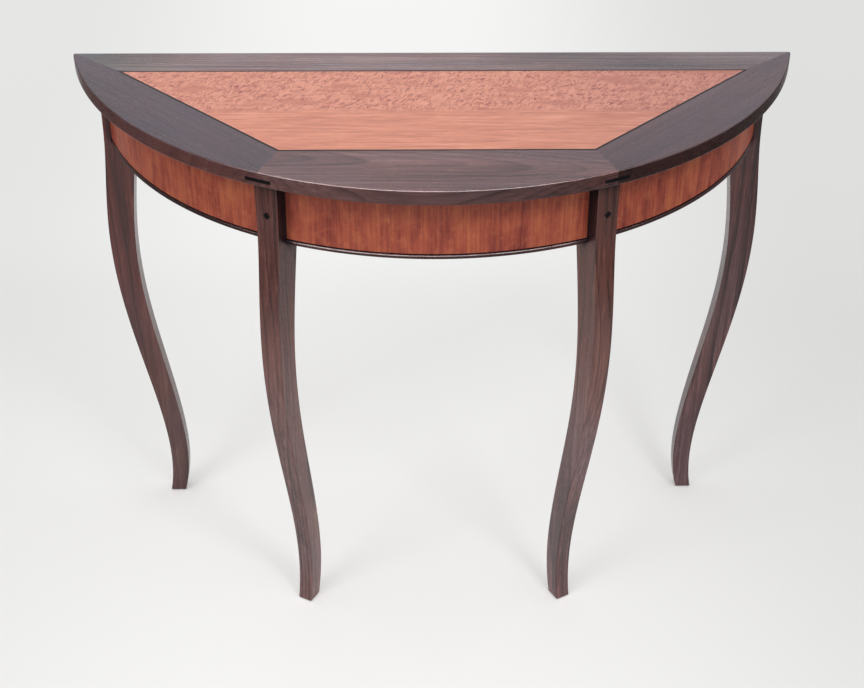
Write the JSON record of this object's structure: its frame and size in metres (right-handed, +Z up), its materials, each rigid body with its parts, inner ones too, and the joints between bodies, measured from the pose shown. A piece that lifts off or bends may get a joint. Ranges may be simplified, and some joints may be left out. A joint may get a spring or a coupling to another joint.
{
  "type": "demilune table",
  "caption": "Half-round side table that stands against a wall: framed top with a figured trapezoid panel, curved veneered apron with a projecting bead, slender S-swept tapering legs.",
  "frame": {"origin": "on the floor, under the middle of the bounding box of the top", "axes": "+X to the right seen from the front, +Y towards the wall (the straight back edge), +Z up"},
  "size_m": [1.0144, 0.406, 0.762],
  "materials": {
    "walnut": "satin oil and wax",
    "figured_veneer": "satin lacquer",
    "apron_veneer": "satin lacquer",
    "ebony": "satin",
    "inner_wood": "planed, bare",
    "screw_steel": "plated",
    "glide_plastic": "matt"
  },
  "bodies": {
    "root": {"apron_bead_front": "walnut", "apron_bead_left": "walnut", "apron_bead_right": "walnut", "apron_core_front": "inner_wood", "apron_core_left": "inner_wood", "apron_core_right": "inner_wood", "apron_veneer_front": "apron_veneer", "apron_veneer_left": "apron_veneer", "apron_veneer_right": "apron_veneer", "back_rail": "walnut", "border_back": "walnut", "border_front": "walnut", "border_left": "walnut", "border_right": "walnut", "button_front_left": "inner_wood", "button_front_right": "inner_wood", "button_rail_left": "inner_wood", "button_rail_right": "inner_wood", "button_screws": "screw_steel", "button_side_left": "inner_wood", "button_side_right": "inner_wood", "glide_back_left": "glide_plastic", "glide_back_right": "glide_plastic", "glide_front_left": "glide_plastic", "glide_front_right": "glide_plastic", "glue_block_back_left": "inner_wood", "glue_block_back_right": "inner_wood", "glue_block_front_left": "inner_wood", "glue_block_front_right": "inner_wood", "leg_back_left": "walnut", "leg_back_right": "walnut", "leg_front_left": "walnut", "leg_front_right": "walnut", "line_inlay_back": "ebony", "line_inlay_front": "ebony", "line_inlay_left": "ebony", "line_inlay_right": "ebony", "mitre_key_back_left": "inner_wood", "mitre_key_back_right": "inner_wood", "mitre_spline_front_left": "ebony", "mitre_spline_front_right": "ebony", "panel_backing_veneer": "figured_veneer", "panel_core": "inner_wood", "panel_face_veneer": "figured_veneer", "plug_back_left": "ebony", "plug_back_right": "ebony", "plug_front_left": "ebony", "plug_front_right": "ebony", "tenon_front_left": "inner_wood", "tenon_front_right": "inner_wood", "tenon_rail_left": "inner_wood", "tenon_rail_right": "inner_wood", "tenon_rear_left": "inner_wood", "tenon_rear_right": "inner_wood", "tenon_side_left": "inner_wood", "tenon_side_right": "inner_wood"}
  },
  "joints": []
}
